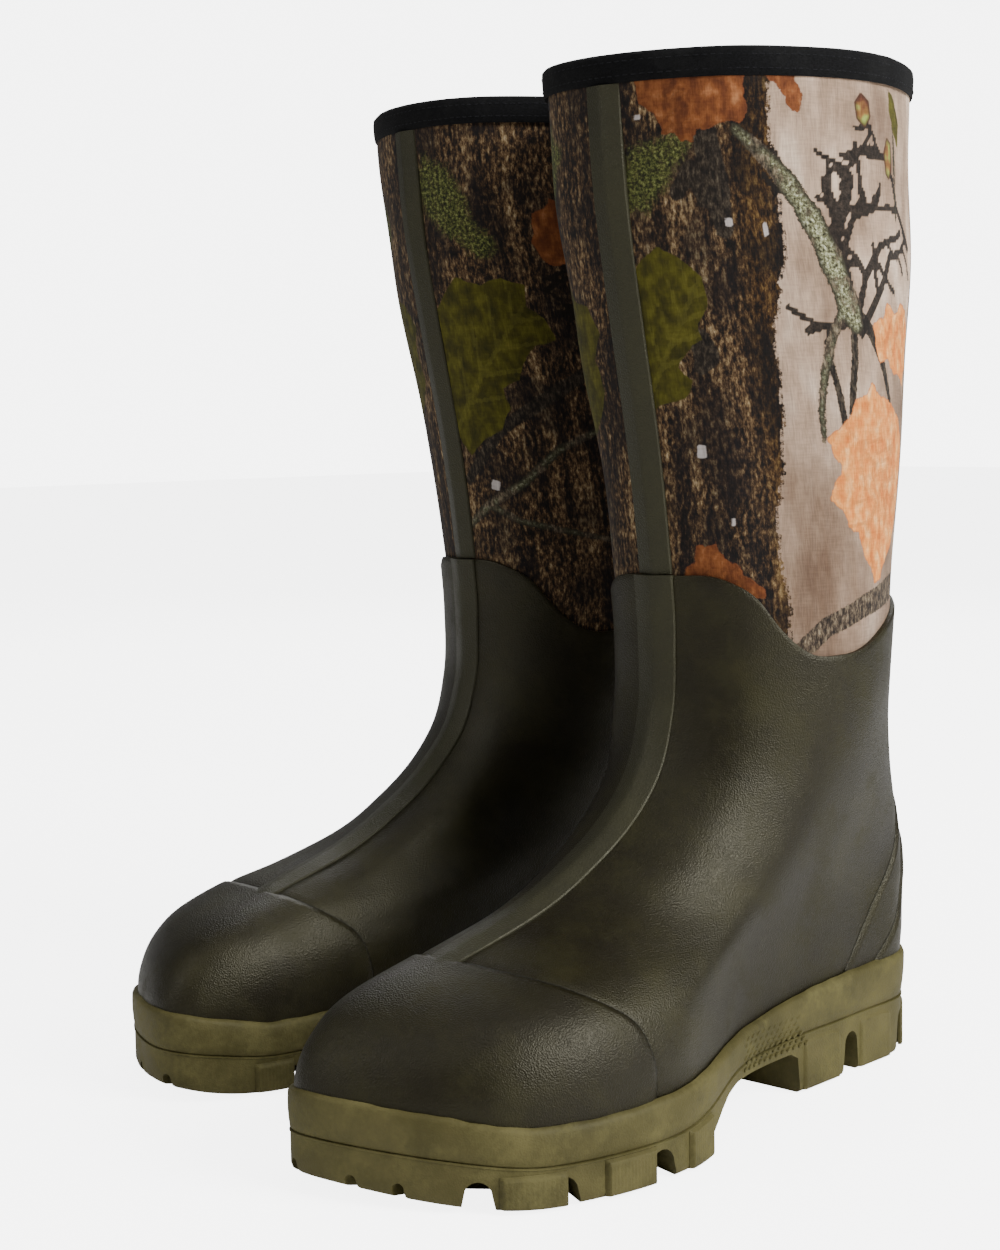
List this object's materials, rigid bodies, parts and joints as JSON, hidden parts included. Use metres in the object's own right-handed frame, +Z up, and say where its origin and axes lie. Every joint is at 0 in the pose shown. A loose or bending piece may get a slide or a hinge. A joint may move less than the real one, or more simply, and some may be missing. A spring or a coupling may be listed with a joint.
{
  "type": "insulated field boots",
  "caption": "Pair of tall insulated pull-on boots: moulded rubber foot, printed neoprene leg, lugged rubber sole and bound top edge.",
  "frame": {"origin": "centre of the pair's box at ground level", "axes": "+Z up, toes toward -Y, the left boot on the +X side and the right boot on the -X side; each boot is turned 5 degrees toe-out"},
  "size_m": [0.2872, 0.337, 0.4],
  "materials": {
    "sole_rubber": "matte khaki-olive moulded rubber",
    "upper_rubber": "dark olive-brown rubber with a fine pebble grain, satin",
    "printed_neoprene": null,
    "black_neoprene": "black foam neoprene with knit face",
    "lining_fabric": "dark brushed lining",
    "binding_tape": "black woven binding tape, stitched",
    "foam": "cream closed-cell foam",
    "footbed_foam": "black felt-covered foam",
    "insole_board": "brown fibre board",
    "shank_steel": "spring steel"
  },
  "bodies": {
    "left_foot": {"left_outsole": "sole_rubber", "left_sidewall_rand": "sole_rubber", "left_midsole_foam": "foam", "left_shank": "shank_steel", "left_insole_board": "insole_board", "left_footbed": "footbed_foam", "left_neoprene_foot": "black_neoprene", "left_rubber_foot_shell": "upper_rubber", "left_toe_cap": "upper_rubber", "left_heel_counter": "upper_rubber", "left_kick_spur": "upper_rubber", "left_front_ridge_foot": "upper_rubber", "left_ankle_flex_rubber": "upper_rubber", "left_ankle_flex_neoprene": "black_neoprene", "left_lining_sock": "lining_fabric"},
    "left_leg": {"left_shaft_panel_outer": "printed_neoprene", "left_shaft_panel_inner": "printed_neoprene", "left_rubber_leg_shell": "upper_rubber", "left_front_ridge_leg": "upper_rubber", "left_front_strip": "upper_rubber", "left_rear_seam_tape": "upper_rubber", "left_top_binding": "binding_tape"},
    "right_foot": {"right_outsole": "sole_rubber", "right_sidewall_rand": "sole_rubber", "right_midsole_foam": "foam", "right_shank": "shank_steel", "right_insole_board": "insole_board", "right_footbed": "footbed_foam", "right_neoprene_foot": "black_neoprene", "right_rubber_foot_shell": "upper_rubber", "right_toe_cap": "upper_rubber", "right_heel_counter": "upper_rubber", "right_kick_spur": "upper_rubber", "right_front_ridge_foot": "upper_rubber", "right_ankle_flex_rubber": "upper_rubber", "right_ankle_flex_neoprene": "black_neoprene", "right_lining_sock": "lining_fabric"},
    "right_leg": {"right_shaft_panel_outer": "printed_neoprene", "right_shaft_panel_inner": "printed_neoprene", "right_rubber_leg_shell": "upper_rubber", "right_front_ridge_leg": "upper_rubber", "right_front_strip": "upper_rubber", "right_rear_seam_tape": "upper_rubber", "right_top_binding": "binding_tape"}
  },
  "joints": [
    {"name": "left_ankle", "type": "hinge", "parent": "left_foot", "child": "left_leg", "pos_m": [0.0687, 0.06963, 0.1], "axis": [0.9962, 0.0872, 0], "range_deg": [-8, 20], "stiffness_Nm_per_rad": 6, "deforming": ["left_ankle_flex_rubber", "left_ankle_flex_neoprene", "left_lining_sock"]},
    {"name": "right_ankle", "type": "hinge", "parent": "right_foot", "child": "right_leg", "pos_m": [-0.0687, 0.09463, 0.1], "axis": [0.9962, -0.0872, 0], "range_deg": [-8, 20], "stiffness_Nm_per_rad": 6, "deforming": ["right_ankle_flex_rubber", "right_ankle_flex_neoprene", "right_lining_sock"]},
    {"name": "right_boot_apart", "type": "slide", "parent": "left_foot", "child": "right_foot", "axis": [-1, 0, 0], "range_m": [0, 0.12]}
  ]
}
